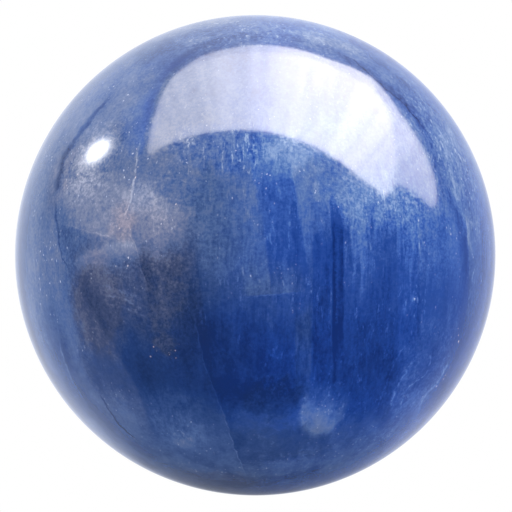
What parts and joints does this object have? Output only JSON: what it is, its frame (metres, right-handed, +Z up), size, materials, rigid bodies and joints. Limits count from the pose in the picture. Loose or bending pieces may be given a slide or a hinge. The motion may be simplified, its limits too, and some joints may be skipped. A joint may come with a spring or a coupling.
{
  "type": "polished kyanite sphere",
  "caption": "Solid ball of blue bladed kyanite, ground round and polished all over, with a small flat spot underneath so that it stays where it is set down.",
  "frame": {"origin": "middle of the rest face, which is the lowest point of the ball, on the surface that it stands on", "axes": "+Z up through the ball's centre and along the stone's blades; -Y towards the side that the picture shows; +X to the right of that view"},
  "size_m": [0.04, 0.04, 0.0399],
  "materials": {
    "polished_kyanite": "polished"
  },
  "bodies": {
    "root": {"kyanite_sphere": "polished_kyanite"}
  },
  "joints": []
}
